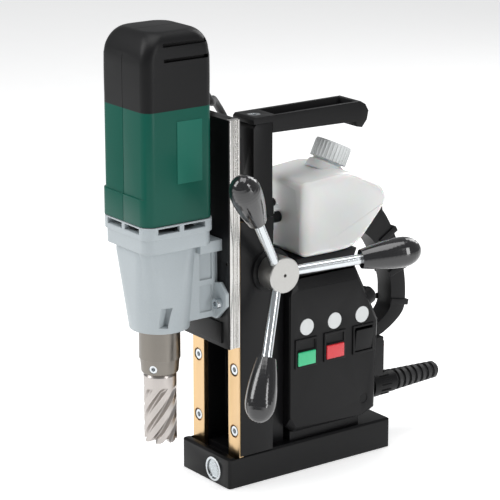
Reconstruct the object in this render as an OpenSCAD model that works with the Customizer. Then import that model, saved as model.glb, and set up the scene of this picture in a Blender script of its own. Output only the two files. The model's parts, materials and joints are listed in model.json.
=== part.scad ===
// Portable magnetic core drill: electromagnet foot, column with guide strips, geared
// motor on a rack-driven carriage, three-arm feed lever, control box and coolant tank.
// Origin: centre of the magnet face. +X: feed lever side, -Y: drill side, +Z: up.

/* [Magnet foot] */
// Width of the magnet foot
foot_w = 80; // [80:1:82]
// Length of the magnet foot
foot_l = 202; // [202:1:206]
// Height of the magnet foot
foot_h = 31; // [31:0.5:31]

/* [Column and carriage] */
// Height of the column shoulder
column_top = 267; // [264:1:270]
// Height of the post that carries the handle
post_top = 353; // [350:1:356]
// Gap between the two guide strips
guide_gap = 41; // [41:0.5:41.5]
// Lower edge of the carriage with the feed fully up
carriage_low = 143.3; // [143:0.1:146]
// Upper edge of the carriage with the feed fully up
carriage_high = 367.6; // [364:0.1:368]

/* [Drill motor] */
// Distance from the centre of the foot to the spindle axis
spindle_reach = 154; // [154:1:156]
// Side of the square motor housing
motor_w = 76; // [76:1:77]
// Top of the motor cap
motor_top = 457; // [456:1:460]

/* [Cutter] */
// Diameter of the annular cutter
cutter_d = 32; // [30:1:33]
// Number of cutter flutes
flutes = 7; // [5:1:8]

/* [Feed lever] */
// Lean of the three rods away from the column
rod_lean = 18.7; // [16:0.1:20]
// Distance from the hub centre to the tip of a knob
lever_reach = 146; // [140:1:148]

/* [Control box] */
// Half width of the control box
box_half = 40; // [40:0.5:40]
// Wall of the control box
box_wall = 3; // [2.5:0.5:3]

/* [Coolant tank] */
// Wall of the coolant tank
tank_wall = 2.5; // [2:0.1:3]
// Diameter of the tank cap
cap_d = 37; // [36:1:38]

/* [Hidden] */
$fn = 64;

// Running clearance between a shaft and its bore, and between sliding faces
run = 0.05;
// Overrun of a cutting shape past the face it cuts
cut = 1;
// Colours
black = [0.06, 0.06, 0.07];
steel = [0.72, 0.72, 0.73];
brass = [0.80, 0.62, 0.32];
green = [0.02, 0.30, 0.22];
grey = [0.68, 0.71, 0.73];
milky = [0.93, 0.93, 0.90];
// Feed axis: height and distance from the foot centre
hub_y = -53;
hub_z = 215;
pinion_m = 1.5;
pinion_z = 20;
rack_line = hub_y - pinion_m * pinion_z / 2;
// Front face of the guide strips and of the column flanges
strip_y = -88;
flange_y = -83;
carriage_front = -101;
spindle_y = -spindle_reach;
motor_low = 277.6;
cap_low = 385;
// Offset of the layshaft from the spindle axis, towards the front
lay_off = 20;
first_m = 1;
second_m = 1.25;
pocket_z = 24.5;
screw_rows = [55, 118, 181, 244];
screw_x = 30;
groove_out = [64, 180];
groove_in = [34, 150];
groove_h = 22;
lamp_at = [14, 14];

// Box given by its low and high corners
module block(low, high) {
    translate(low) cube(high - low);
}

// Outline in Y and Z, drawn out along X
module along_x(x0, x1) {
    translate([x0, 0, 0]) rotate([90, 0, 90]) linear_extrude(x1 - x0) children();
}

// Outline in X and Z, drawn out along Y
module along_y(y0, y1) {
    translate([0, y1, 0]) rotate([90, 0, 0]) linear_extrude(y1 - y0) children();
}

// Rectangle with round corners, centred
module round_rect(w, d, r) {
    square([w - 2 * r, d], center = true);
    square([w, d - 2 * r], center = true);
    for (sx = [-1, 1], sy = [-1, 1]) translate([sx * (w / 2 - r), sy * (d / 2 - r)]) circle(r = r);
}

// Round bar along X from x0 to x1, centred on y and z
module bar_x(x0, x1, y, z, r) {
    translate([x0, y, z]) rotate([0, 90, 0]) cylinder(h = x1 - x0, r = r);
}

// Round bar along Y from y0 to y1, centred on x and z
module bar_y(y0, y1, x, z, r) {
    translate([x, y1, z]) rotate([90, 0, 0]) cylinder(h = y1 - y0, r = r);
}

// Round bar on the spindle axis
module bar_spindle(z0, z1, r) {
    translate([0, spindle_y, z0]) cylinder(h = z1 - z0, r = r);
}

// Socket head screw along -Y, its head towards the front face at y
module socket_screw_y(x, y, z, head_r, head_h, shank_r, shank_l) {
    difference() {
        union() {
            bar_y(y, y + head_h, x, z, head_r);
            bar_y(y + head_h - 0.01, y + head_h + shank_l, x, z, shank_r);
        }
        translate([x, y + head_h * 0.6, z]) rotate([90, 0, 0]) cylinder(h = head_h, r = head_r * 0.55,
            $fn = 6);
    }
}

// Angle between the start of an involute and its point at radius r
function inv_angle(rb, r) = r <= rb ? 0 : let (a = acos(rb / r)) tan(a) * 180 / PI - a;

// Outline of an involute spur gear with short teeth
function gear_points(m, z, play) =
    let (rp = m * z / 2, rb = rp * cos(20), ra = rp + 0.8 * m, rf = rp - 1.1 * m)
    let (half = 90 / z - play / rp * 90 / PI, radii = [rf, max(rb, rf + 0.05), rp, (rp + ra) / 2, ra])
    [for (i = [0:z - 1], side = [-1, 1], k = [0:4])
        let (r = radii[side < 0 ? k : 4 - k])
        let (a = i * 360 / z + side * (half + inv_angle(rb, rp) - inv_angle(rb, r)))
        [r * cos(a), r * sin(a)]];

module gear(m, z, width, turn) {
    rotate([0, 0, turn]) linear_extrude(width) polygon(gear_points(m, z, 0.12 * m));
}

// ---- Magnet foot ----

module magnet_foot() color(black) difference() {
    linear_extrude(foot_h) round_rect(foot_w, foot_l, 3);
    // Top edge chamfers
    for (s = [-1, 1]) translate([s * foot_w / 2, 0, foot_h]) rotate([0, 45, 0]) cube([2.8, foot_l + 2,
        2.8], center = true);
    for (s = [-1, 1]) translate([0, s * foot_l / 2, foot_h]) rotate([45, 0, 0]) cube([foot_w + 2, 2.8,
        2.8], center = true);
    // Ring groove between the outer and the inner pole
    translate([0, 0, -cut]) linear_extrude(groove_h + cut) difference() {
        round_rect(groove_out[0], groove_out[1], 8);
        round_rect(groove_in[0], groove_in[1], 4);
    }
    // Recess for the ends of the guide strips
    block([-39.3, -94, pocket_z], [39.3, flange_y + 0.1, foot_h + cut]);
    // Lamp pocket
    bar_y(-foot_l / 2 - cut, -foot_l / 2 + 8, lamp_at[0], lamp_at[1], 12.25);
}

module pole_ring(z0, z1, gap) {
    translate([0, 0, z0]) linear_extrude(z1 - z0) difference() {
        round_rect(groove_out[0] - gap, groove_out[1] - gap, 8 - gap / 2);
        round_rect(groove_in[0] + gap, groove_in[1] + gap, 4 + gap / 2);
    }
}

module magnet_coil() color("peru") pole_ring(5, groove_h, 1);

module magnet_potting() color("dimgray") pole_ring(0.4, 5, 0.2);

module lamp_ring() color(steel) difference() {
    bar_y(-foot_l / 2 - 1.2, -foot_l / 2 + 8, lamp_at[0], lamp_at[1], 12.2);
    bar_y(-foot_l / 2 - 1.2 - cut, -foot_l / 2 + 6, lamp_at[0], lamp_at[1], 10);
}

module lamp_lens() color("white") translate([lamp_at[0], -foot_l / 2 + 5.9, lamp_at[1]]) rotate([90, 0, 0])
    rotate_extrude() polygon([[0, 0], [9.95, 0], [9.95, 4], [8, 6], [5, 6.8], [0, 7]]);

// ---- Column ----

module column() color(black) difference() {
    union() {
        // U-shaped guide body and its thin front lips
        block([-40, flange_y, foot_h], [40, -48.5, column_top]);
        for (s = [0, 1]) mirror([s, 0, 0]) block([39.1, -87, foot_h], [40, flange_y + cut, column_top]);
        // Rear spine and post
        block([-30, -49, foot_h], [30, -28.1, 200]);
        along_x(-17, 17) polygon([[-55, foot_h], [-32.5, foot_h], [-32.5, post_top], [-52, post_top],
            [-55, post_top - 4]]);
        // Bearing boss of the feed shaft
        bar_x(-42, 43.9, hub_y, hub_z, 22);
    }
    // Channel for the carriage rib
    block([-guide_gap / 2, -90, foot_h - cut], [guide_gap / 2, -62, column_top + cut]);
    // Pinion chamber and bush seats
    bar_x(-10, 10, hub_y, hub_z, 18);
    bar_x(-43, 45, hub_y, hub_z, 11);
    // Threads of the guide strip screws
    for (s = [-1, 1], z = screw_rows) bar_y(flange_y - cut, flange_y + 10, s * screw_x, z, 3.2);
    bar_y(-60, -20, 0, 300, 2);
    translate([0, -42, post_top - 12]) cylinder(h = 14, r = 3.2);
}

module gib_strips() color(brass) for (s = [0, 1]) mirror([s, 0, 0]) difference() {
    block([guide_gap / 2, strip_y, pocket_z], [39, flange_y, column_top]);
    for (z = screw_rows) {
        bar_y(strip_y - cut, flange_y + cut, screw_x, z, 3.3);
        bar_y(strip_y - cut, strip_y + 4, screw_x, z, 6.5);
    }
}

module gib_screws() color(steel) for (s = [-1, 1], z = screw_rows)
    socket_screw_y(s * screw_x, strip_y + 0.4, z, 5, 3.6, 3.1, 9);

module pinion_bushes() color(brass) for (s = [0, 1]) mirror([s, 0, 0]) difference() {
    bar_x(10.2, 42, hub_y, hub_z, 11);
    bar_x(9, 43, hub_y, hub_z, 8 + run);
}

module carry_handle() color(black) difference() {
    union() {
        block([-17, -55, post_top], [17, -32, 359.6]);
        along_x(-17, 17) polygon([[-32.1, 342.5], [70, 340], [71, 334.6], [78, 333], [84, 340], [86,
            349], [82, 356],
            [76, 359.6], [-32.1, 359.6]]);
    }
    // Open trough
    block([-13, -27, 347], [13, 72, 361]);
    // Front corner bevel and screw seat
    translate([0, -55, 359.6]) rotate([45, 0, 0]) cube([40, 3.5, 3.5], center = true);
    translate([0, -42, post_top - cut]) cylinder(h = 10, r = 3.3);
    translate([0, -42, 355.6]) cylinder(h = 5, r = 6.6);
}

module handle_screw() color(steel) translate([0, -42, 0]) difference() {
    union() {
        translate([0, 0, 355.6]) cylinder(h = 3.6, r = 6.4);
        translate([0, 0, post_top - 11]) cylinder(h = 14, r = 3.1);
    }
    translate([0, 0, 357]) cylinder(h = 3, r = 3, $fn = 6);
}

// ---- Control box ----

box_side = [[-28, 48], [-28, 184], [-17, 203], [55, 203], [87, 138], [84, 45], [70, 40], [-20, 40]];
panel_side = [[-27, 58], [-27, 182], [-18, 188], [57, 187], [81, 138], [78, 49], [64, 42], [-20, 46]];
// Button windows: centre in Y and Z
windows = [[-8.3, 122.5], [27.5, 123], [64, 123.2]];
window_w = 25;
window_h = 28;
rear_x = 28;
rear_y = 94;
breaker_at = [27, 75.7, 161];
breaker_tilt = 63.8;

module box_outer() {
    hull() {
        along_x(-box_half, 34) polygon(box_side);
        along_x(34, box_half) polygon(panel_side);
    }
}

module control_box() color(black) difference() {
    union() {
        box_outer();
        // Housing of the rear switch
        block([rear_x - 14, 80, 78], [rear_x + 8, rear_y, 118]);
        // Collar of the breaker button on the rear slope
        translate(breaker_at) rotate([-breaker_tilt, 0, 0]) translate([0, 0, -3]) cylinder(h = 9, r = 9.5);
        // Plinth down to the foot
        block([-34, -23, foot_h], [34, 64, 41]);
    }
    along_x(-box_half + box_wall, 36) offset(delta = -box_wall) polygon(box_side);
    along_x(36 - cut, box_half + cut) offset(delta = 0.2) polygon(panel_side);
    block([rear_x - 6, 76, 84], [rear_x + 6, rear_y + cut, 112]);
    bar_y(70, 90, 20, 62.5, 9);
    translate(breaker_at) rotate([-breaker_tilt, 0, 0]) cylinder(h = 30, r = 7, center = true);
}

module control_panel() color(black) difference() {
    along_x(37, box_half) polygon(panel_side);
    for (w = windows) block([36, w[0] - window_w / 2, w[1] - window_h / 2], [41, w[0] + window_w / 2,
        w[1] + window_h / 2]);
    bar_x(36, 41, 65.5, 59.4, 5.1);
    for (y = [-7.1, 27.5, 62.3]) bar_x(box_half - 0.6, 41, y, 148.6, 8.4);
}

module panel_plug() color(black) {
    bar_x(36.5, box_half - 0.5, 65.5, 59.4, 5);
    bar_x(35.5, 36.5, 65.5, 59.4, 6.5);
}

module switch_frames() color(black) for (w = windows) difference() {
    union() {
        block([18, w[0] - 12.4, w[1] - 13.9], [box_half, w[0] + 12.4, w[1] + 13.9]);
        block([box_half, w[0] - 13.5, w[1] - 15], [41.5, w[0] + 13.5, w[1] + 15]);
    }
    // The push buttons fill the lower half only, the rocker fills the whole opening
    block([21, w[0] - 11, w[1] - 12.5], [43, w[0] + 11, w[1] + (w[0] > 60 ? 12.5 : 2)]);
    block([39.5, w[0] - 11, w[1] + 3], [43, w[0] + 11, w[1] + 12.5]);
}

module symbol_plates() color("gainsboro") for (y = [-7.1, 27.5, 62.3]) bar_x(box_half - 0.6, box_half +
    0.3, y, 148.6, 8.3);

module control_board() color("darkgreen") {
    block([-28, -18, 60], [-26.4, 70, 130]);
    for (y = [-8, 14, 40], z = [72, 100]) block([-26.4, y, z], [-14, y + 12, z + 16]);
}

module rectifier() color("silver") difference() {
    block([-30, -10, 146], [-8, 30, 168]);
    for (y = [-4:6:26]) block([-26, y, 150], [-7, y + 3, 169]);
}

module rear_switch_frame() color(black) difference() {
    union() {
        block([rear_x - 5.8, 80, 84.2], [rear_x + 5.8, rear_y, 111.8]);
        block([rear_x - 7.5, rear_y, 82.5], [rear_x + 7.5, rear_y + 1.5, 113.5]);
    }
    block([rear_x - 4.4, 82, 86], [rear_x + 4.4, rear_y + 3, 110]);
}

module cable_gland() color(black) difference() {
    union() {
        bar_y(88, 96, 20, 62.5, 13);
        bar_y(96, 118, 20, 62.5, 11.5);
        bar_y(76, 88, 20, 62.5, 8.9);
        for (a = [0:30:330]) translate([20, 96, 62.5]) rotate([0, a, 0]) block([11, 0, -1.2], [12.6, 14,
            1.2]);
    }
    bar_y(70, 120, 20, 62.5, 5.5);
}

module cord_boot() color(black) difference() {
    union() {
        translate([20, 118, 62.5]) rotate([-90, 0, 0]) cylinder(h = 59, r1 = 8.5, r2 = 6.5, $fn = 48);
        for (k = [0:6]) bar_y(122 + k * 8, 126 + k * 8, 20, 62.5, 11 - k * 0.35);
    }
    bar_y(117, 178, 20, 62.5, 4.5);
}

// ---- Coolant tank ----

tank_side = [[-12, 218], [-10.5, 293], [45.5, 298], [88.7, 277], [95.4, 263], [88, 253], [56, 219], [29,
    217.6]];
neck_at = [0, 46, 296];
neck_tilt = 26;

module tank_body(inset) {
    hull() {
        along_x(-35 + inset / 2, 35 - inset / 2) offset(delta = -inset) polygon(tank_side);
        along_x(-40 + inset, 40 - inset) offset(delta = -5 - inset) polygon(tank_side);
    }
}

module coolant_tank() color(milky) difference() {
    union() {
        tank_body(0);
        translate(neck_at) rotate([-neck_tilt, 0, 0]) translate([0, 0, -6]) cylinder(h = 24, r = 14);
    }
    tank_body(tank_wall);
    translate(neck_at) rotate([-neck_tilt, 0, 0]) translate([0, 0, -12]) cylinder(h = 40, r = 11.5);
    // Relief in the neck's lower lip, so that poured coolant runs straight down
    block([-4.4, 46.6, 283.6], [4.4, 54.4, 300.4]);
    bar_y(-14, -8, 0, 253, 3.2);
}

module tank_cap() color("white") translate(neck_at) rotate([-neck_tilt, 0, 0]) difference() {
    union() {
        translate([0, 0, 5]) cylinder(h = 18.5, r = cap_d / 2 - 0.6);
        for (a = [0:12:348]) rotate([0, 0, a]) translate([cap_d / 2 - 0.6, 0, 5]) cylinder(h = 17, r =
            0.7, $fn = 16);
    }
    translate([0, 0, 4]) cylinder(h = 16.5, r = 14 + run);
}

module tank_bracket() color(black) difference() {
    along_x(-34, 34) polygon([[-16, 203.2], [54, 203.2], [60, 217], [30, 217.4], [-16, 217.4]]);
    along_x(-30, 30) polygon([[-12, 202], [50, 202], [54, 214], [-12, 214]]);
}

module tank_clip() color(black) difference() {
    union() {
        block([-12, -32.4, 244], [12, -27, 275]);
        bar_y(-27.5, -23, 6, 270.6, 4);
        bar_y(-27.5, -12.2, 0, 253, 5.5);
    }
    bar_y(-40, -10, 0, 253, 2.5);
    block([-3, -24, 252], [3, -17, 260]);
}

module tap_lever() color("white") {
    translate([0, -20.5, 253.2]) cylinder(h = 9, r = 2.4);
    block([-2, -24, 262], [2, -14, 266]);
}

// ---- Cable guide and motor cable ----

module cable_guide() color(black) difference() {
    along_x(-11, 11) polygon([[86, 236], [100, 244], [111, 242], [129, 211], [140, 177], [143, 147],
        [138, 128],
        [111, 111], [87.4, 108], [87.4, 118], [108, 124], [122, 136], [124, 151], [121, 172], [103, 207],
            [78, 226]]);
    // Open channel along the outer edge
    along_x(-7, 7) polygon([[100, 248], [115, 245], [133, 211], [144, 177], [147, 147], [142, 126], [134,
        120],
        [126, 128], [130, 150], [127, 173], [110, 212], [95, 232]]);
    // Way in for the cable
    translate([0, 132, 124]) rotate([127, 0, 0]) cylinder(h = 20, r = 5.2);
}

module guide_clips() color(black) for (c = [[117, 214, 30], [130, 176, 18], [132.5, 142, -12]])
    translate([0, c[0], c[1]]) rotate([c[2], 0, 0]) difference() {
        block([-13, -10, -3], [13, 13.5, 3]);
        block([-11.1, -30, -4], [11.1, 11.2, 4]);
    }

cable_r = 3.75;
// Route of the motor lead, from the motor cap over the carriage to the cable guide
lead_route = [
    [0, -112, 409], [0, -104, 396], [-1, -97, 385], [-6, -89, 377], [-16, -80, 373], [-30, -69, 372],
    [-43, -56, 364], [-50, -42, 348], [-52, -30, 326], [-52, -14, 300], [-52, 8, 276], [-51, 34, 262],
    [-49, 62, 256], [-46, 88, 254], [-34, 104, 254], [-12, 113, 254], [-2, 115, 247], [0, 116, 232],
    [0, 120, 212], [0, 128, 193], [0, 133, 175], [0, 136, 152], [0, 135, 138], [0, 131, 125], [0, 123, 118]
];
lead_steps = 2;
lead_sides = 10;
// A direction that the lead never points along
lead_ref = [0.3, 0.2, 0.93];

// Smooth curve through the route's points
function on_curve(p, i, t) =
    let (n = len(p) - 1, a = p[max(i - 1, 0)], b = p[i], c = p[min(i + 1, n)], d = p[min(i + 2, n)])
    0.5 * ((2 * b) + (c - a) * t + (2 * a - 5 * b + 4 * c - d) * t * t + (3 * b - a - 3 * c + d) * t * t
        * t);

function unit(v) = v / norm(v);

module sweep(points, r, sides) {
    n = len(points);
    rings = [for (i = [0:n - 1])
        let (t = unit(points[min(i + 1, n - 1)] - points[max(i - 1, 0)]))
        let (u = unit(cross(t, lead_ref)), v = cross(t, u))
        for (k = [0:sides - 1]) points[i] + r * (u * cos(k * 360 / sides) + v * sin(k * 360 / sides))];
    walls = [for (i = [0:n - 2], k = [0:sides - 1])
        let (a = i * sides + k, b = i * sides + (k + 1) % sides)
        for (f = [[a, b, b + sides], [a, b + sides, a + sides]]) f];
    start_cap = [for (k = [sides - 1:-1:0]) k];
    end_cap = [for (k = [0:sides - 1]) (n - 1) * sides + k];
    polyhedron(rings, concat(walls, [start_cap, end_cap]));
}

module motor_cable() color(black) sweep(
    concat([for (i = [0:len(lead_route) - 2], s = [0:lead_steps - 1]) on_curve(lead_route, i, s /
        lead_steps)],
        [lead_route[len(lead_route) - 1]]), cable_r, lead_sides);

// ---- Carriage ----

rib_top = 347;
plate_back = strip_y - run;

module carriage_plate() color(black) difference() {
    union() {
        block([-40, carriage_front, carriage_low], [40, -99.5, carriage_high]);
        block([-34, -99.6, carriage_low], [34, plate_back, carriage_high]);
        // Rear rib between the guide strips
        block([-20.45, plate_back - cut, carriage_low], [20.45, -70, rib_top - 10]);
        bar_rib();
        // Raised pad below the gearbox
        block([-29, carriage_front - 1.5, carriage_low + 4], [29, carriage_front + cut, 168]);
    }
    // Seat of the rack
    block([-8.05, -77, carriage_low - cut], [8.05, -60, rib_top + cut]);
    for (s = [-1, 1]) bar_y(carriage_front - 2, -91, s * 30.6, 189, 3.2);
    // Threaded holes of the chip guard
    for (s = [-1, 1]) bar_y(carriage_front - 2, -99, s * 37, 228, 1.9);
    translate([33, -95, carriage_high - 8]) cylinder(h = 10, r = 2);
}

module bar_rib() {
    intersection() {
        bar_x(-20.45, 20.45, -79.5, rib_top - 10, 10);
        block([-21, plate_back - cut, rib_top - 11], [21, -70, rib_top]);
    }
}

module slide_rails() color(steel) for (s = [0, 1]) mirror([s, 0, 0]) difference() {
    block([34, -99.5, carriage_low], [40, plate_back, carriage_high]);
    // Lengthwise grooves
    for (g = [[-95.4, 0.8], [-93, 1.8], [-90.6, 0.8]]) block([39.1, g[0] - g[1] / 2, 140], [41, g[0] +
        g[1] / 2, 370]);
    bar_y(-100, -91, 37, 228, 1.9);
}

rack_pitch = PI * pinion_m;
rack_half = rack_pitch / 4 - 0.1;
rack_low = 202;
rack_high = 342;

module rack() color(steel) along_x(-8, 8) {
    translate([-77, rack_low]) square([77 + rack_line - 1.65, rack_high - rack_low]);
    // Teeth, with a gap level with the feed axis
    for (k = [-2:25]) translate([0, hub_z + (k + 0.5) * rack_pitch]) polygon([
        [rack_line - 1.75, -rack_half - 1.65 * tan(20)], [rack_line + 1.2, -rack_half + 1.2 * tan(20)],
        [rack_line + 1.2, rack_half - 1.2 * tan(20)], [rack_line - 1.75, rack_half + 1.65 * tan(20)]]);
}

module bracket_bolts() color(steel) for (s = [-1, 1]) socket_screw_y(s * 30.6, -111, 189, 5, 6, 3.1, 11);

// ---- Drill unit ----

body_front = -190;
body_rear = -125;
ear = [[0, 204], [5, 204], [30, 209], [40, 199.5], [40, 187], [24.5, 172], [0, 172]];

module gearbox_housing() color(grey) difference() {
    union() {
        hull() {
            translate([0, (body_front + body_rear) / 2, 244]) linear_extrude(7) round_rect(58, body_rear
                - body_front, 16);
            bar_spindle(168, 172, 29);
        }
        // Flange to the carriage, with two ears
        for (s = [0, 1]) mirror([s, 0, 0]) along_y(-105, carriage_front) polygon(ear);
        // Web between the gearbox and the flange
        block([-22, -140, 174], [22, -104, 251]);
        for (x = [-21, 19]) block([x, -140, 174], [x + 2, carriage_front, 251]);
        block([-29, -126, 240], [29, carriage_front, 251]);
        // Corner rib
        hull() {
            translate([22, -182, 250]) cylinder(h = 1, r = 7.5);
            translate([20, -174, 205]) cylinder(h = 1, r = 3);
        }
    }
    // Side reliefs of the web
    for (s = [-1, 1], z = [180, 212]) block([s > 0 ? 20 : -30, -122, z], [s > 0 ? 30 : -20, -108, z + 26]);
    // Spindle, bearing seats and gear chamber
    bar_spindle(167, 252, 12);
    bar_spindle(172, 184, 17.5);
    bar_spindle(221, 233, 13);
    bar_spindle(233, 252, 15.5);
    translate([0, spindle_y - lay_off, 226]) cylinder(h = 8, r = 6);
    translate([0, spindle_y - lay_off, 234]) cylinder(h = 18, r = 10);
    for (s = [-1, 1]) bar_y(-107, -99, s * 30.6, 189, 3.2);
    // Relief facet low on the lever side
    translate([27, -166, 184]) rotate([0, 8, 20]) cube([6, 14, 20], center = true);
}

module gearbox_ring() color(grey) difference() {
    union() {
        translate([0, spindle_y, 251]) linear_extrude(14) round_rect(motor_w, motor_w, 12);
        translate([0, spindle_y, 265]) linear_extrude(12) round_rect(motor_w + 3, motor_w + 3, 12);
    }
    bar_spindle(254, 263, 35);
    bar_spindle(268.5, 278, 35);
    bar_spindle(250, 255, 15.5);
    translate([0, spindle_y - lay_off, 250]) cylinder(h = 6, r = 14.2);
    bar_spindle(262, 270, 11);
    // Air windows
    for (a = [0:90:270], k = [-1, 1]) translate([0, spindle_y, 0]) rotate([0, 0, a])
        block([28, k * 14.5 - 12, 270], [41, k * 14.5 + 12, 275.5]);
}

module motor_housing() color(green) difference() {
    union() {
        translate([0, spindle_y, motor_low]) linear_extrude(cap_low - motor_low) round_rect(motor_w,
            motor_w, 10);
        // Wider air skirt on the front and far side
        translate([-1.2, spindle_y - 1.2, motor_low]) linear_extrude(26) round_rect(motor_w, motor_w, 10);
    }
    translate([0, spindle_y, motor_low - cut]) linear_extrude(100) round_rect(motor_w - 6, motor_w - 6, 8);
    bar_spindle(370, 382, 33);
    bar_spindle(375, 390, 11);
    // Parting line
    block([-0.3, spindle_y - 45, 270], [0.3, spindle_y - 37.6, 390]);
}

module name_plate() color("mediumseagreen") block([motor_w / 2, -158, 315], [motor_w / 2 + 0.7, -130, 374]);

module cap_shape(inset) {
    $fn = 32;
    hull() {
        translate([0, spindle_y, cap_low]) linear_extrude(motor_top - cap_low - 19) round_rect(motor_w -
            inset, motor_w - inset, 10);
        translate([0, spindle_y, cap_low]) linear_extrude(motor_top - cap_low - 5 - inset / 2)
            round_rect(66 - inset, 60 - inset, 10);
        translate([0, spindle_y, cap_low]) linear_extrude(motor_top - cap_low - inset / 2) round_rect(54
            - inset, 50 - inset, 10);
    }
}

module motor_cap() color(black) difference() {
    union() {
        cap_shape(0);
        translate([0, -120, 421]) rotate([-150, 0, 0]) cylinder(h = 10, r = 9);
    }
    translate([0, 0, -cut]) cap_shape(5);
    // Air slots on both sides
    for (z = [430, 445]) block([-45, -172, z], [45, -121, z + 3.6]);
    translate([0, -122.5, 426]) rotate([-150, 0, 0]) cylinder(h = 32, r = 6.2);
    // Parting line
    block([-0.3, -195, 380], [0.3, -191.5, 439]);
    block([-0.3, -178, motor_top - 0.6], [0.3, -130, motor_top + cut]);
}

module cable_sleeve() color(black) translate([0, -119, 420]) rotate([-150, 0, 0]) difference() {
    cylinder(h = 26, r = 6);
    translate([0, 0, -cut]) cylinder(h = 30, r = cable_r + 1.2);
}

module motor_stator() color("dimgray") difference() {
    translate([0, spindle_y, 296]) linear_extrude(54) round_rect(69.8, 69.8, 8);
    bar_spindle(295, 351, 21);
    for (a = [45:90:315]) translate([0, spindle_y, 290]) rotate([0, 0, a]) translate([28, 0, 0])
        cylinder(h = 70, r = 6);
}

module brush_holders() color(brass) for (s = [0, 1]) mirror([s, 0, 0]) difference() {
    block([12.3, spindle_y - 5, 361], [35, spindle_y + 5, 369]);
    block([20, spindle_y - 3, 363], [36, spindle_y + 3, 367]);
}

module bearing(z0, z1, r_out, r_in) {
    translate([0, 0, z0]) difference() {
        cylinder(h = z1 - z0, r = r_out);
        translate([0, 0, -cut]) cylinder(h = z1 - z0 + 2, r = r_in + 0.04);
        for (z = [-0.01, z1 - z0 - 0.8]) translate([0, 0, z]) difference() {
            cylinder(h = 0.81, r = r_out - 2);
            translate([0, 0, -cut]) cylinder(h = 4, r = r_in + 2);
        }
    }
}

module motor_bearings() color(steel) translate([0, spindle_y, 0]) {
    bearing(263, 268.5, 11, 5);
    bearing(376, 384, 11, 5);
}

module spindle_bearings() color(steel) {
    translate([0, spindle_y, 0]) bearing(172, 184, 17.5, 10);
    translate([0, spindle_y, 0]) bearing(221, 232, 13, 8);
    translate([0, spindle_y - lay_off, 0]) bearing(226, 232, 6, 2.5);
}

module armature() color("sienna") translate([0, spindle_y, 0]) {
    translate([0, 0, 256]) gear(first_m, 14, 6.5, -90);
    translate([0, 0, 262]) cylinder(h = 124, r = 5);
    difference() {
        translate([0, 0, 298]) cylinder(h = 50, r = 20.2);
        for (a = [0:30:330]) rotate([0, 0, a]) translate([18, -1.2, 297]) cube([4, 2.4, 52]);
    }
    translate([0, 0, 288]) cylinder(h = 11, r = 15);
    translate([0, 0, 347]) cylinder(h = 9, r = 15);
    translate([0, 0, 356]) cylinder(h = 16, r = 12);
}

module motor_fan() color("dimgray") translate([0, spindle_y, 271]) difference() {
    union() {
        cylinder(h = 2, r = 31);
        cylinder(h = 12, r = 9);
        for (a = [0:30:330]) rotate([0, 0, a]) translate([8, 0, 1]) cube([21.5, 1.4, 8]);
    }
    translate([0, 0, -cut]) cylinder(h = 16, r = 5);
}

module counter_gear() color(steel) translate([0, spindle_y - lay_off, 0]) {
    translate([0, 0, 256]) gear(first_m, 26, 6, 90 + 180 / 26);
    translate([0, 0, 237]) gear(second_m, 12, 12, 90);
    translate([0, 0, 248]) cylinder(h = 9, r = 5.5);
    translate([0, 0, 226.5]) cylinder(h = 11, r = 2.5);
}

module spindle_shaft() color(steel) difference() {
    translate([0, spindle_y, 0]) {
        translate([0, 0, 237.5]) gear(second_m, 20, 11, -90 + 180 / 20);
        translate([0, 0, 184]) cylinder(h = 37, r = 11);
        translate([0, 0, 166]) cylinder(h = 19, r = 10);
        translate([0, 0, 220]) cylinder(h = 18, r = 8);
        translate([0, 0, 150]) cylinder(h = 17, r = 9);
    }
    // Coolant passage
    bar_spindle(149, 251, 3);
}

module tool_holder() color(steel) difference() {
    union() {
        bar_spindle(137, 166, 20);
        translate([0, spindle_y, 0]) rotate_extrude() polygon([[0, 123], [17.6, 123], [18, 123.5], [19.2,
            137.1], [0, 137.1]]);
    }
    bar_spindle(122, 150, 9.5 + run);
    bar_spindle(149, 167, 9);
    for (a = [215, 305]) translate([0, spindle_y, 129]) rotate([0, 90, a]) cylinder(h = 30, r = 4);
}

module holder_screws() color(steel) for (a = [215, 305]) translate([0, spindle_y, 129]) rotate([0, 90,
    a]) difference() {
    translate([0, 0, 9.7]) cylinder(h = 7.8, r = 3.95);
    translate([0, 0, 13]) cylinder(h = 6, r = 2.2, $fn = 6);
}

cutter_low = 53.4;
flute_depth = 3;

module core_cutter() color(steel) difference() {
    union() {
        translate([0, spindle_y, cutter_low]) linear_extrude(56, twist = -150, slices = 20) polygon([
            for (f = [0:flutes - 1], k = [0:7])
                let (a = (f + k / 8) * 360 / flutes, r = cutter_d / 2 - flute_depth * [0, 0, 0, 0, 0.7,
                    1, 0.9, 0.4][k])
                [r * cos(a), r * sin(a)]]);
        translate([0, spindle_y, 0]) rotate_extrude() polygon([[0, 109], [13, 109], [cutter_d / 2, 113],
            [cutter_d / 2, 119.5],
            [14, 122.9], [0, 122.9]]);
        bar_spindle(122.8, 148, 9.5);
    }
    bar_spindle(cutter_low - cut, 104, cutter_d / 2 - 5);
    bar_spindle(100, 149, 3.2);
    // Gullets between the teeth
    for (f = [0:flutes - 1]) translate([0, spindle_y, cutter_low]) rotate([0, 0, (f + 0.75) * 360 / flutes])
        translate([14, 0, 0]) rotate([25, 0, 0]) cube([12, 4, 7], center = true);
    // Flats for the holder screws
    for (a = [215, 305]) translate([0, spindle_y, 129]) rotate([0, 0, a]) translate([13.6, 0, 0])
        cube([8, 9, 9], center = true);
}

// ---- Feed lever ----

lever_x = 54;
knob_from = 84;
knob_l = lever_reach - knob_from;
knob_swell = 0.68 * knob_l;

// Children stand on the feed axis with +Z along rod number k
module on_rods() {
    for (k = [0:2]) translate([lever_x, hub_y, hub_z]) rotate([4.8 + 120 * k, 0, 0])
        rotate([0, 0, -rod_lean]) rotate([-90, 0, 0]) children();
}

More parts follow.
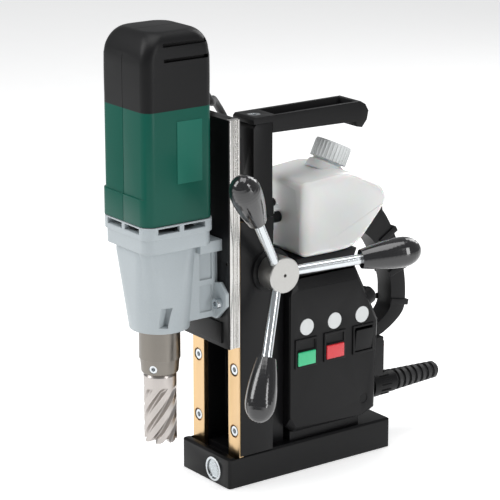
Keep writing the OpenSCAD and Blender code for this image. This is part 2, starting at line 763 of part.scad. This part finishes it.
module feed_hub() color(steel) difference() {
    translate([44, hub_y, hub_z]) rotate([0, 90, 0]) rotate_extrude() polygon([[0, 0], [16.7, 0], [17.5,
        0.8], [17.5, 20.2],
        [16.7, 21], [0, 21]]);
    bar_x(43, 58, hub_y, hub_z, 8.02);
    bar_x(57, 66, hub_y, hub_z, 1.6);
    on_rods() translate([0, 0, 9.5]) cylinder(h = 20, r = 5.03);
}

module pinion_shaft() color(steel) {
    bar_x(-41, 57.9, hub_y, hub_z, 8);
    translate([-8, hub_y, hub_z]) rotate([90, 0, 90]) gear(pinion_m, pinion_z, 16, 0);
}

module lever_rods() color(steel) on_rods() translate([0, 0, 10]) cylinder(h = knob_from + 8, r = 5);

module lever_knobs() color(black) on_rods() translate([0, 0, knob_from]) difference() {
    rotate_extrude() polygon(concat([[0, 0]],
        [for (t = [0:0.1:1]) [9.5 + 5.5 * sin(90 * t), knob_swell * t]],
        [for (a = [10:10:90]) [15 * cos(a), knob_swell + (knob_l - knob_swell) * sin(a)]]));
    translate([0, 0, -cut]) cylinder(h = 20.5, r = 5.03);
}

// ---- Buttons ----

module push_button(w) {
    block([26, w[0] - 10.8, w[1] - 12.3], [42.8, w[0] + 10.8, w[1] + 1.8]);
}

module start_button() color("limegreen") push_button(windows[0]);

module stop_button() color("red") push_button(windows[1]);

module magnet_rocker() color(black) translate([36, 0, windows[2][1]]) {
    along_y(windows[2][0] - 10.8, windows[2][0] + 10.8)
        polygon([[-9, -5], [3.8, -11.5], [4.8, -11.5], [6, 0], [7.5, 10.5], [3.8, 10.5], [-9, 5]]);
    // Pivot stubs
    bar_y(windows[2][0] - 10.95, windows[2][0] + 10.95, 0, 0, 1.5);
}

module main_rocker() color("red") translate([0, 90, 98]) {
    along_x(rear_x - 4.2, rear_x + 4.2)
        polygon([[-7, -4], [4.5, -11.2], [5.5, -11.2], [6, 0], [8.5, 9.8], [4.5, 9.8], [-7, 4]]);
    // Pivot stubs
    bar_x(rear_x - 4.35, rear_x + 4.35, 0, 0, 1.5);
}

module breaker_button() color(black) translate(breaker_at) rotate([-breaker_tilt, 0, 0]) {
    translate([0, 0, -6]) cylinder(h = 15, r = 6.9);
    translate([0, 0, 8.9]) cylinder(h = 1.1, r1 = 6.9, r2 = 6);
}

magnet_foot();
magnet_coil();
magnet_potting();
lamp_ring();
lamp_lens();
column();
gib_strips();
gib_screws();
pinion_bushes();
carry_handle();
handle_screw();
control_box();
control_panel();
panel_plug();
switch_frames();
symbol_plates();
control_board();
rectifier();
rear_switch_frame();
cable_gland();
cord_boot();
coolant_tank();
tank_bracket();
tank_clip();
cable_guide();
guide_clips();
motor_cable();
carriage_plate();
slide_rails();
rack();
bracket_bolts();
gearbox_housing();
gearbox_ring();
motor_housing();
name_plate();
motor_cap();
cable_sleeve();
motor_stator();
brush_holders();
motor_bearings();
spindle_bearings();
armature();
motor_fan();
counter_gear();
spindle_shaft();
tool_holder();
holder_screws();
core_cutter();
feed_hub();
pinion_shaft();
lever_rods();
lever_knobs();
start_button();
stop_button();
magnet_rocker();
main_rocker();
breaker_button();
tank_cap();
tap_lever();
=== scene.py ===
"""Looks of the portable magnetic core drill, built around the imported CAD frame. Metres, +Z up."""
import json
import math

import bmesh
import bpy
from mathutils import Matrix, Vector


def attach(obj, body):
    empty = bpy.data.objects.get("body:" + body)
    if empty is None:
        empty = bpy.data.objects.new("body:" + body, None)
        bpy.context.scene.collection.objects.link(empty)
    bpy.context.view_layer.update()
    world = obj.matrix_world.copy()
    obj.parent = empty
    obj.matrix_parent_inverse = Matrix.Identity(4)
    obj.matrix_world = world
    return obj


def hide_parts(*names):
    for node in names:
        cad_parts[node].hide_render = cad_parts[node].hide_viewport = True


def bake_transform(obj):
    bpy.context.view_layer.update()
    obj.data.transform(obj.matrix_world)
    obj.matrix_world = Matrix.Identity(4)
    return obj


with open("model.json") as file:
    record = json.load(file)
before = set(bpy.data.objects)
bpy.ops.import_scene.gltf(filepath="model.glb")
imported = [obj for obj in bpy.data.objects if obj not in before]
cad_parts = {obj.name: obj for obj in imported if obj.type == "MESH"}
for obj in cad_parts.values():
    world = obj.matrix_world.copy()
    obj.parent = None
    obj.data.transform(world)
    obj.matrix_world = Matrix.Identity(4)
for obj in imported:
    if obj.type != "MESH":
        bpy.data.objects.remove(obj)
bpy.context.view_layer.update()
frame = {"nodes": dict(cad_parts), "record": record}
BODY = {node: body for body, nodes in frame["record"]["behaviour"]["bodies"].items() for node in nodes}
SLOT = {row["node"]: row["material_slot"] for row in frame["record"]["subparts"]}
MM = 0.001
TAU = 2 * math.pi

# ---------------------------------------------------------------- camera, light and floor

CAMERA_AZIMUTH = 53.66
CAMERA_ELEVATION = 16.02
CAMERA_DISTANCE = 2.299
CAMERA_SIDE = -0.0377
CAMERA_RISE = 0.2081
LENS = 163.5


def view_axes():
    """Right, up and back directions of the camera."""
    a, e = math.radians(CAMERA_AZIMUTH), math.radians(CAMERA_ELEVATION)
    back = Vector((math.sin(a) * math.cos(e), -math.cos(a) * math.cos(e), math.sin(e)))
    right = Vector((math.cos(a), math.sin(a), 0))
    return right, back.cross(right), back


def add_camera():
    right, up, back = view_axes()
    camera = bpy.data.objects.new("camera", bpy.data.cameras.new("camera"))
    bpy.context.scene.collection.objects.link(camera)
    place = back * CAMERA_DISTANCE + right * CAMERA_SIDE + up * CAMERA_RISE
    turn = Matrix((right, up, back)).transposed().to_4x4()
    camera.matrix_world = Matrix.Translation(place) @ turn
    camera.data.lens = LENS
    camera.data.sensor_width = 36
    camera.data.clip_end = 20
    bpy.context.scene.camera = camera


def add_light(name, azimuth, elevation, distance, size, power):
    a, e = math.radians(azimuth), math.radians(elevation)
    out = Vector((math.sin(a) * math.cos(e), -math.cos(a) * math.cos(e), math.sin(e)))
    lamp = bpy.data.objects.new(name, bpy.data.lights.new(name, "AREA"))
    lamp.data.shape = "RECTANGLE"
    lamp.data.size, lamp.data.size_y = size
    lamp.data.energy = power
    lamp.location = Vector((0, 0, 0.2)) + out * distance
    lamp.rotation_euler = out.to_track_quat("Z", "Y").to_euler()
    bpy.context.scene.collection.objects.link(lamp)


def add_floor(paint):
    mesh = bpy.data.meshes.new("floor")
    half = 6
    mesh.from_pydata([(-half, -half, 0), (half, -half, 0), (half, half, 0), (-half, half, 0)], [],
        [(0, 1, 2, 3)])
    floor = bpy.data.objects.new("floor", mesh)
    floor.location.z = -0.0005
    bpy.context.scene.collection.objects.link(floor)
    mesh.materials.append(paint)


def light_stage():
    world = bpy.data.worlds.new("studio")
    world.use_nodes = True
    world.node_tree.nodes["Background"].inputs[0].default_value = (0.93, 0.94, 0.95, 1)
    world.node_tree.nodes["Background"].inputs[1].default_value = 0.36
    bpy.context.scene.world = world
    add_light("key", -25, 38, 1.9, (0.7, 1.3), 18)
    add_light("side", 100, 18, 2.0, (0.35, 1.5), 12)
    add_light("top", 40, 82, 1.8, (1.4, 1.4), 20)
    add_light("rim", 200, 30, 2.0, (0.8, 1.2), 10)
    bpy.context.scene.view_settings.view_transform = "Standard"


# ---------------------------------------------------------------- materials

def wire(tree, out_node, out_name, in_node, in_name):
    tree.links.new(out_node.outputs[out_name], in_node.inputs[in_name])


def math_node(tree, kind, first, second):
    """A Math node fed by sockets or numbers."""
    node = tree.nodes.new("ShaderNodeMath")
    node.operation = kind
    node.use_clamp = True
    for k, value in enumerate((first, second)):
        if isinstance(value, (int, float)):
            node.inputs[k].default_value = value
        else:
            tree.links.new(value, node.inputs[k])
    return node.outputs[0]


def noise_value(tree, place, scale, detail):
    node = tree.nodes.new("ShaderNodeTexNoise")
    node.inputs["Scale"].default_value = scale
    node.inputs["Detail"].default_value = detail
    wire(tree, place, "Vector", node, "Vector")
    return node.outputs[0]


def material(name, color, rough, metal=0.0, shift=0.12, grain=900.0, bump=0.08, stretch=(1, 1, 1),
             wear=0.0, worn=(0.5, 0.5, 0.5), radius=0.35, coat=0.0, extra=None):
    """A procedural finish: mottled colour and roughness, a fine grain, rounded and slightly worn edges."""
    mat = bpy.data.materials.new(name)
    mat.use_nodes = True
    tree = mat.node_tree
    shader = tree.nodes["Principled BSDF"]
    shader.inputs["Metallic"].default_value = metal
    shader.inputs["Coat Weight"].default_value = coat
    shader.inputs["Coat Roughness"].default_value = 0.12
    coords = tree.nodes.new("ShaderNodeTexCoord")
    place = tree.nodes.new("ShaderNodeMapping")
    place.inputs["Scale"].default_value = stretch
    wire(tree, coords, "Object", place, "Vector")
    fine = noise_value(tree, place, grain, 4)
    broad = noise_value(tree, place, 22, 3)
    # Edge mask: where the rounded normal leaves the flat one
    bevel = tree.nodes.new("ShaderNodeBevel")
    bevel.samples = 4
    bevel.inputs["Radius"].default_value = radius * MM
    shape = tree.nodes.new("ShaderNodeNewGeometry")
    dot = tree.nodes.new("ShaderNodeVectorMath")
    dot.operation = "DOT_PRODUCT"
    wire(tree, bevel, "Normal", dot, 0)
    wire(tree, shape, "Normal", dot, 1)
    away = math_node(tree, "SUBTRACT", 1.0, dot.outputs["Value"])
    mask = math_node(tree, "MULTIPLY", math_node(tree, "MULTIPLY", away, 6.0),
        math_node(tree, "MULTIPLY", broad, wear * 1.6))
    tint = tree.nodes.new("ShaderNodeMix")
    tint.data_type = "RGBA"
    tint.inputs["A"].default_value = (*[c * (1 - shift) for c in color], 1)
    tint.inputs["B"].default_value = (*[min(1, c * (1 + shift)) for c in color], 1)
    tree.links.new(math_node(tree, "ADD", math_node(tree, "MULTIPLY", fine, 0.5),
        math_node(tree, "MULTIPLY", broad, 0.5)),
                   tint.inputs["Factor"])
    edge = tree.nodes.new("ShaderNodeMix")
    edge.data_type = "RGBA"
    edge.inputs["B"].default_value = (*worn, 1)
    tree.links.new(mask, edge.inputs["Factor"])
    tree.links.new(tint.outputs["Result"], edge.inputs["A"])
    tree.links.new(edge.outputs["Result"], shader.inputs["Base Color"])
    gloss = tree.nodes.new("ShaderNodeMapRange")
    gloss.inputs["To Min"].default_value = rough * 0.82
    gloss.inputs["To Max"].default_value = min(1, rough * 1.2)
    tree.links.new(broad, gloss.inputs["Value"])
    wire(tree, gloss, "Result", shader, "Roughness")
    relief = tree.nodes.new("ShaderNodeBump")
    relief.inputs["Strength"].default_value = bump
    relief.inputs["Distance"].default_value = 0.15 * MM
    tree.links.new(fine, relief.inputs["Height"])
    wire(tree, bevel, "Normal", relief, "Normal")
    wire(tree, relief, "Normal", shader, "Normal")
    for key, value in (extra or {}).items():
        shader.inputs[key].default_value = value
    return mat


DULL = {"Specular IOR Level": 0.2}
PAINTS = {
    "black_paint": material("black_paint", (0.004, 0.004, 0.0045), 0.34, bump=0.10, wear=0.2,
        worn=(0.08, 0.08, 0.08), extra=DULL),
    "black_plastic": material("black_plastic", (0.0045, 0.0045, 0.005), 0.42, grain=1600, bump=0.22,
        wear=0.2,
                              worn=(0.05, 0.05, 0.05), extra=DULL),
    "steel": material("steel", (0.60, 0.59, 0.57), 0.26, metal=1, shift=0.03, stretch=(1, 1, 0.02),
        bump=0.015, wear=0.1),
    "plated": material("plated", (0.62, 0.65, 0.67), 0.2, metal=1, shift=0.02, bump=0.0),
    "brass": material("brass", (0.66, 0.46, 0.25), 0.30, metal=1, stretch=(1, 1, 0.03), bump=0.2, wear=0.5,
        worn=(0.9, 0.74, 0.5)),
    "green_plastic": material("green_plastic", (0.002, 0.075, 0.052), 0.36, grain=1800, bump=0.16,
        wear=0.15, worn=(0.03, 0.2, 0.15),
                              extra=DULL),
    "grey_metal": material("grey_metal", (0.36, 0.40, 0.42), 0.36, grain=700, bump=0.14, wear=0.3,
        worn=(0.6, 0.62, 0.63), radius=1.0),
    "tank_plastic": material("tank_plastic", (0.76, 0.77, 0.76), 0.38, grain=300, bump=0.1, shift=0.03,
        radius=1.5,
                             extra={"Transmission Weight": 0.25, "Subsurface Weight": 0.35,
                                 "Subsurface Scale": 0.012, "IOR": 1.3}),
    "white_plastic": material("white_plastic", (0.62, 0.64, 0.64), 0.42, shift=0.04),
    "button_green": material("button_green", (0.02, 0.46, 0.20), 0.28, shift=0.06, coat=0.4),
    "button_red": material("button_red", (0.62, 0.02, 0.03), 0.28, shift=0.06, coat=0.4),
    "knob": material("knob", (0.008, 0.008, 0.009), 0.14, grain=200, bump=0.02, coat=0.6),
    "rubber": material("rubber", (0.016, 0.016, 0.017), 0.55, bump=0.2),
    "copper": material("copper", (0.45, 0.20, 0.09), 0.35, metal=1, stretch=(1, 1, 12), bump=0.5),
    "resin": material("resin", (0.05, 0.05, 0.05), 0.5),
    "board": material("board", (0.02, 0.14, 0.06), 0.45),
    "plate_green": material("plate_green", (0.008, 0.12, 0.085), 0.5, grain=1200, extra=DULL),
    "led": material("led", (0.9, 0.9, 0.86), 0.3,
        extra={"Emission Color": (1, 1, 1, 1), "Emission Strength": 1.2}),
    "lens": material("lens", (0.93, 0.95, 0.96), 0.08, shift=0.02, grain=150,
                     extra={"Transmission Weight": 1.0, "IOR": 1.45}),
    "hub_alu": material("hub_alu", (0.46, 0.455, 0.44), 0.34, metal=1, grain=500, stretch=(6, 1, 1),
        bump=0.15),
    "dark_steel": material("dark_steel", (0.20, 0.185, 0.165), 0.30, metal=1, stretch=(1, 1, 6), bump=0.15,
        wear=0.5),
    "cutter_steel": material("cutter_steel", (0.44, 0.41, 0.39), 0.3, metal=1, stretch=(1, 1, 4), bump=0.2,
        wear=0.6, worn=(0.85, 0.83, 0.8)),
}


def paint_frame():
    """Every CAD node takes its slot's procedural finish."""
    for node, thing in frame["nodes"].items():
        if thing.type != "MESH":
            continue
        if not thing.material_slots:
            thing.data.materials.append(PAINTS[SLOT[node]])
        for row in thing.material_slots:
            row.material = PAINTS[SLOT[node]]


# ---------------------------------------------------------------- mesh helpers

SMOOTH_LIMIT = math.radians(32)


def finish_piece(name, mesh, nodes, smooth=SMOOTH_LIMIT):
    """Turns a mesh into the piece that stands for the CAD nodes, on their body and with their finish."""
    mesh.validate()
    mesh.polygons.foreach_set("use_smooth", [True] * len(mesh.polygons))
    mesh.set_sharp_from_angle(angle=smooth)
    mesh.materials.clear()
    mesh.materials.append(PAINTS[SLOT[nodes[0]]])
    piece = bpy.data.objects.new(name, mesh)
    bpy.context.scene.collection.objects.link(piece)
    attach(piece, BODY[nodes[0]])
    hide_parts(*nodes)
    return piece


def add_trim(name, mesh, body, slot):
    """A small visible piece that the CAD model doesn't have."""
    mesh.validate()
    mesh.polygons.foreach_set("use_smooth", [True] * len(mesh.polygons))
    mesh.set_sharp_from_angle(angle=SMOOTH_LIMIT)
    mesh.materials.append(PAINTS[slot])
    piece = bpy.data.objects.new(name, mesh)
    bpy.context.scene.collection.objects.link(piece)
    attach(piece, body)
    return piece


def cad_bmesh(node):
    """A welded, simplified copy of a CAD node's mesh."""
    bm = bmesh.new()
    bm.from_mesh(frame["nodes"][node].data)
    bmesh.ops.remove_doubles(bm, verts=bm.verts, dist=0.002 * MM)
    bmesh.ops.dissolve_limit(bm, angle_limit=math.radians(0.5), verts=bm.verts, edges=bm.edges,
        delimit=set())
    return bm


def soften(node, width, segments=3, sharp=35):
    """Rounds the edges of a CAD node's copy by width millimetres."""
    bm = cad_bmesh(node)
    limit = math.radians(sharp)
    edges = [e for e in bm.edges if len(e.link_faces) == 2 and e.calc_face_angle(0) > limit]
    bmesh.ops.bevel(bm, geom=edges, offset=width * MM, segments=segments, profile=0.5, affect="EDGES",
                    clamp_overlap=True)
    bmesh.ops.triangulate(bm, faces=[f for f in bm.faces if len(f.verts) > 4])
    mesh = bpy.data.meshes.new(node + "_rounded")
    bm.to_mesh(mesh)
    bm.free()
    return finish_piece(node + "_rounded", mesh, [node])


def ring_points(w, d, r, cx, cy, z, per_corner=10):
    """Points round a rectangle with round corners, in millimetres."""
    points = []
    for k, (sx, sy) in enumerate(((1, 1), (-1, 1), (-1, -1), (1, -1))):
        for s in range(per_corner + 1):
            a = math.pi / 2 * (k + s / per_corner)
            points.append(((cx + sx * (w / 2 - r) + r * math.cos(a)) * MM,
                (cy + sy * (d / 2 - r) + r * math.sin(a)) * MM, z * MM))
    return points


def loft(name, rings):
    """Closed mesh through rings of equal point counts, from the lowest to the highest."""
    n = len(rings[0])
    verts = [p for ring in rings for p in ring]
    faces = [(i * n + k, i * n + (k + 1) % n, (i + 1) * n + (k + 1) % n, (i + 1) * n + k)
             for i in range(len(rings) - 1) for k in range(n)]
    faces += [tuple(range(n))[::-1], tuple((len(rings) - 1) * n + k for k in range(n))]
    mesh = bpy.data.meshes.new(name)
    mesh.from_pydata(verts, [], faces)
    return mesh


def box_mesh(name, low, high):
    (x0, y0, z0), (x1, y1, z1) = low, high
    ring = lambda z: [(x * MM, y * MM, z * MM) for x, y in ((x0, y0), (x1, y0), (x1, y1), (x0, y1))]
    return loft(name, [ring(z0), ring(z1)])


def cut(mesh, cutters):
    """mesh with each cutter mesh taken away."""
    thing = bpy.data.objects.new("cut_base", mesh)
    bpy.context.scene.collection.objects.link(thing)
    tools = []
    for cutter in cutters:
        tool = bpy.data.objects.new("cut_tool", cutter)
        bpy.context.scene.collection.objects.link(tool)
        change = thing.modifiers.new("cut", "BOOLEAN")
        change.operation = "DIFFERENCE"
        change.solver = "EXACT"
        change.object = tool
        tools.append(tool)
    bpy.context.view_layer.update()
    done = bpy.data.meshes.new_from_object(thing.evaluated_get(bpy.context.evaluated_depsgraph_get()))
    for tool in [thing, *tools]:
        bpy.data.objects.remove(tool)
    return done


def curve_point(route, i, t):
    """Point on the smooth curve through the route, as in the CAD model."""
    a, b = route[max(i - 1, 0)], route[i]
    c, d = route[min(i + 1, len(route) - 1)], route[min(i + 2, len(route) - 1)]
    return 0.5 * ((2 * b) + (c - a) * t + (2 * a - 5 * b + 4 * c - d) * t * t
        + (3 * b - a - 3 * c + d) * t * t * t)


# ---------------------------------------------------------------- motor cap and cable boss

SPINDLE_Y = -154
CAP_LOW = 385
CAP_TOP = 457
CAP_SIDE = 76
# Height where the straight wall ends, and how much the dome rises above it
CAP_SHOULDER = 438
CAP_DOME = 19
SLOT_LOWS = (430, 444)
SLOT_HEIGHT = 3.4


def cap_rings():
    rings = [ring_points(CAP_SIDE, CAP_SIDE, 10, 0, SPINDLE_Y, z) for z in (CAP_LOW, CAP_LOW + 0.01)]
    for k in range(1, 8):
        t = k / 8
        swell = 0.5 * math.sin(math.pi * t)
        rings.append(ring_points(CAP_SIDE + swell, CAP_SIDE + swell, 10.5, 0, SPINDLE_Y,
                                 CAP_LOW + (CAP_SHOULDER - CAP_LOW) * t))
    for k in range(0, 11):
        a = math.pi / 2 * k / 10
        inset = 13 * (1 - math.cos(a))
        front = 9 * (1 - math.cos(a)) + 5 * math.sin(a)
        rings.append(ring_points(CAP_SIDE - 2 * inset, CAP_SIDE - inset - front - 2, 11 + 3 * math.sin(a),
            0,
                                 SPINDLE_Y + (front - inset) / 2, CAP_SHOULDER + CAP_DOME * math.sin(a)))
    return rings


def make_cap():
    slots = [loft("slot", [ring_points(14, 50, 1.6, x, -146.5, z) for z in (low, low + SLOT_HEIGHT)])
             for x in (38.5, -38.5) for low in SLOT_LOWS]
    seam = [box_mesh("seam", (-0.25, -200, CAP_LOW - 1), (0.25, -191.3, 442)),
            box_mesh("seam", (-0.25, -185, CAP_TOP - 0.5), (0.25, -125, CAP_TOP + 2))]
    body = loft("motor_cap_shell", cap_rings())
    finish_piece("motor_cap_shell", cut(body, slots + seam), ["motor_cap"])
    sleeve_axis = Vector((0, 0.5, -math.sqrt(0.75)))
    start = Vector((0, -121, 423)) * MM
    boss = tube("cable_boss", [start + sleeve_axis * s * MM for s in (0, 4, 9, 11, 12)],
        [9.5, 9.5, 9, 8, 6], 32)
    add_trim("cable_boss", boss, "carriage", "black_plastic")


def tube(name, points, radii, sides):
    """Closed round tube through points in metres, with radii in millimetres."""
    rings = []
    side = Vector((1, 0, 0))
    for i, p in enumerate(points):
        along = (points[min(i + 1, len(points) - 1)] - points[max(i - 1, 0)]).normalized()
        side = (side - along * side.dot(along)).normalized()
        other = along.cross(side)
        r = radii[i] * MM
        rings.append([tuple(p + side * r * math.cos(TAU * k / sides)
            + other * r * math.sin(TAU * k / sides))
                      for k in range(sides)])
    return loft(name, rings)


# ---------------------------------------------------------------- cutter

CUTTER_LOW = 53.4
CUTTER_HIGH = 109.4
FLUTES = 7
FLUTE_TWIST = math.radians(150)


def flute_radius(phase):
    """Radius of the cutter's outside at a place within one flute's pitch, 0 to 1."""
    if phase < 0.52:
        return 16 - 0.25 * (phase > 0.12)
    dip = (phase - 0.52) / 0.48
    return 15.75 - 3.3 * math.sin(math.pi * dip) ** 0.7


def make_cutter():
    around, rows, inner = FLUTES * 22, 64, 11.0
    rings = []
    for j in range(rows + 1):
        t = j / rows
        ring = []
        fade = min(1, (1 - t) / 0.08)
        for k in range(around):
            phase = (k / around * FLUTES) % 1
            a = TAU * k / around + FLUTE_TWIST * t
            r = 15.9 + (flute_radius(phase) - 15.9) * fade
            # Teeth: the lower edge steps down towards each cutting edge
            rise = (1.2 + 3.6 * max(0, (phase - 0.30) / 0.70)) * max(0, 1 - t * 6)
            ring.append((r * math.cos(a) * MM, (SPINDLE_Y + r * math.sin(a)) * MM,
                         (CUTTER_LOW + (CUTTER_HIGH - CUTTER_LOW) * t + rise - 1.2 * max(0,
                             1 - t * 6)) * MM))
        rings.append(ring)
    for r, z in ((16, 111), (16, 119.5), (14.2, 122.7), (9.5, 122.9), (9.5, 148), (3.2, 148), (3.2, 104),
        (inner, 104)):
        rings.append([(r * math.cos(TAU * k / around + FLUTE_TWIST) * MM,
            (SPINDLE_Y + r * math.sin(TAU * k / around + FLUTE_TWIST)) * MM,
                       z * MM) for k in range(around)])
    lowest = rings[0]
    rings.append([((inner * math.cos(TAU * k / around)) * MM,
        (SPINDLE_Y + inner * math.sin(TAU * k / around)) * MM,
                   lowest[k][2] + 0.4 * MM) for k in range(around)])
    n, count = around, len(rings)
    verts = [p for ring in rings for p in ring]
    faces = [(i * n + k, i * n + (k + 1) % n, ((i + 1) % count) * n + (k + 1) % n,
        ((i + 1) % count) * n + k)
             for i in range(count) for k in range(n)]
    mesh = bpy.data.meshes.new("cutter_fluted")
    mesh.from_pydata(verts, [], faces)
    finish_piece("cutter_fluted", mesh, ["core_cutter"], math.radians(28))


# ---------------------------------------------------------------- motor lead

LEAD_RADIUS = 3.75
LEAD_ROUTE = [
    (0, -112, 409), (0, -104, 396), (-1, -97, 385), (-6, -89, 377), (-16, -80, 373), (-30, -69, 372),
    (-43, -56, 364), (-50, -42, 348), (-52, -30, 326), (-52, -14, 300), (-52, 8, 276), (-51, 34, 262),
    (-49, 62, 256), (-46, 88, 254), (-34, 104, 254), (-12, 113, 254), (-2, 115, 247), (0, 116, 232),
    (0, 120, 212), (0, 128, 193), (0, 133, 175), (0, 136, 152), (0, 135, 138), (0, 131, 125), (0, 123, 118),
]
LEAD_STEPS = 8


def make_lead():
    route = [Vector(p) * MM for p in LEAD_ROUTE]
    points = [curve_point(route, i, s / LEAD_STEPS) for i in range(len(route) - 1)
        for s in range(LEAD_STEPS)] + [route[-1]]
    mesh = tube("motor_lead", points, [LEAD_RADIUS] * len(points), 20)
    mesh.polygons.foreach_set("use_smooth", [True] * len(mesh.polygons))
    mesh.materials.append(PAINTS["rubber"])
    piece = bpy.data.objects.new("motor_lead", mesh)
    bpy.context.scene.collection.objects.link(piece)
    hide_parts("motor_cable")
    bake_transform(piece)


# ---------------------------------------------------------------- tank, guide and lamp

TANK_SIDE = [(-12, 218), (-10.5, 293), (45.5, 298), (88.7, 277), (95.4, 263), (88, 253), (56, 219),
    (29, 217.6)]
TANK_FILLETS = [9, 9, 14, 8, 5, 8, 14, 6]
NECK_AT = Vector((0, 46, 296))
NECK_TILT = math.radians(26)


def rounded_outline(corners, fillets, steps=8):
    """Outline with each corner replaced by a smooth curve that starts fillet millimetres away from it."""
    out = []
    n = len(corners)
    for k, (corner, fillet) in enumerate(zip(corners, fillets)):
        here, before, after = Vector(corner), Vector(corners[k - 1]), Vector(corners[(k + 1) % n])
        start = here + (before - here).normalized() * fillet
        end = here + (after - here).normalized() * fillet
        for s in range(steps + 1):
            t = s / steps
            out.append(start * (1 - t) ** 2 + here * 2 * t * (1 - t) + end * t * t)
    return out


def make_tank():
    outline = rounded_outline(TANK_SIDE, TANK_FILLETS)
    centre = sum(outline, Vector((0, 0))) / len(outline)
    edge, half, steps = 8, 40, 8
    stations = [(-half + edge * (1 - math.cos(math.pi / 2 * k / steps)),
        edge * (1 - math.sin(math.pi / 2 * k / steps)))
                for k in range(steps + 1)]
    stations += [(-x, inset) for x, inset in reversed(stations)]
    rings = []
    for x, inset in stations:
        ring = []
        for p in outline:
            q = centre + (p - centre) * (1 - inset / 45)
            ring.append((x * MM, q.x * MM, q.y * MM))
        rings.append(ring)
    shell = loft("tank_shell", rings)
    finish_piece("tank_shell", shell, ["coolant_tank"], math.radians(50))
    axis = Vector((0, math.sin(NECK_TILT), math.cos(NECK_TILT)))
    collar = [(-7, 19.5), (-1, 19), (2, 17.5), (3.4, 14.5), (10, 14), (18, 14), (18.1, 11.5), (18.2, 0.5)]
    neck = tube("tank_neck", [(NECK_AT + axis * h) * MM for h, r in collar], [r for h, r in collar], 48)
    add_trim("tank_neck", neck, "base", "tank_plastic")


# Matching points on the outer and the inner edge of the cable guide
GUIDE_PAIRS = [((96, 246), (79, 228)), ((111, 242), (88, 222)), ((129, 211), (103, 207)),
    ((140, 177), (121, 172)),
               ((143, 147), (124, 151)), ((138, 128), (122, 136)), ((112, 111), (108, 124)),
                   ((87.4, 108), (87.4, 118))]


def make_guide():
    outer = [Vector(p[0]) for p in GUIDE_PAIRS]
    inner = [Vector(p[1]) for p in GUIDE_PAIRS]
    steps = 8
    rings = []
    for i in range(len(outer) - 1):
        for s in range(steps):
            t = s / steps
            o, q = curve_point(outer, i, t), curve_point(inner, i, t)
            # The channel is open along the middle of the arm and closed at its foot
            depth = 0.36 if i < 5 else 0.36 + 0.6 * min(1, (i - 5 + t) * 2)
            floor = q + (o - q) * depth
            ring = [(11, o), (11, q), (-11, q), (-11, o), (-7, o), (-7, floor), (7, floor), (7, o)]
            rings.append([(x * MM, p.x * MM, p.y * MM) for x, p in ring])
    last = outer[-1], inner[-1]
    floor = last[1] + (last[0] - last[1]) * 0.96
    rings.append([(x * MM, p.x * MM, p.y * MM) for x, p in
                  [(11, last[0]), (11, last[1]), (-11, last[1]), (-11, last[0]), (-7, last[0]), (-7, floor),
                      (7, floor),
                   (7, last[0])]])
    mesh = loft("guide_arm", rings)
    bm = bmesh.new()
    bm.from_mesh(mesh)
    edges = [e for e in bm.edges if len(e.link_faces) == 2 and e.calc_face_angle(0) > math.radians(50)]
    bmesh.ops.bevel(bm, geom=edges, offset=1.1 * MM, segments=3, profile=0.5, affect="EDGES",
        clamp_overlap=True)
    bmesh.ops.recalc_face_normals(bm, faces=bm.faces)
    bm.to_mesh(mesh)
    bm.free()
    finish_piece("guide_arm", mesh, ["cable_guide"])


LAMP_X, LAMP_Z, LAMP_FRONT = 14, 14, -102.2


def lamp_part(name, profile, body_slot, nodes=None):
    """A turned piece of the lamp: profile gives depth behind the bezel's face, and radius, in mm."""
    points = [Vector((LAMP_X, LAMP_FRONT + depth, LAMP_Z)) * MM for depth, r in profile]
    mesh = tube(name, points, [r for depth, r in profile], 48)
    if nodes:
        return finish_piece(name, mesh, nodes)
    return add_trim(name, mesh, "base", body_slot)


def make_lamp():
    lamp_part("lamp_window", [(0.3, 0.2), (0.35, 4), (0.6, 7.5), (1.2, 9.9), (2.4, 9.9), (2.5, 0.2)],
        "lens", ["lamp_lens"])
    lamp_part("lamp_reflector", [(3.0, 9.8), (3.2, 9.8), (6.9, 4.5), (7.0, 4.4)], "plated")
    lamp_part("lamp_diode", [(4.6, 0.3), (4.7, 2.2), (5.4, 3.0), (6.8, 3.0)], "led")


# Width of the rounded edges, in millimetres
ROUNDING = {
    "magnet_foot": 0.7, "column": 0.7, "gib_strips": 0.4, "carry_handle": 1.6, "control_box": 1.6,
    "control_panel": 0.7, "switch_frames": 0.5, "start_button": 0.8, "stop_button": 0.8,
        "magnet_rocker": 0.8,
    "main_rocker": 0.5, "rear_switch_frame": 0.4, "tank_bracket": 1.0,
    "guide_clips": 0.6, "carriage_plate": 0.8, "slide_rails": 0.2, "gearbox_housing": 1.2,
        "gearbox_ring": 0.9,
    "motor_housing": 0.8, "name_plate": 0.3, "tank_cap": 0.4, "tank_clip": 0.5,
}

light_stage()
add_camera()
add_floor(material("floor", (0.92, 0.92, 0.92), 0.6, shift=0.01, grain=40, bump=0.0,
                   extra={"Emission Color": (1, 1, 1, 1), "Emission Strength": 0.4}))
paint_frame()
for rounded, width in ROUNDING.items():
    soften(rounded, width)
bpy.data.objects["name_plate_rounded"].data.materials[0] = PAINTS["plate_green"]
make_cap()
make_cutter()
make_tank()
make_guide()
make_lamp()
make_lead()
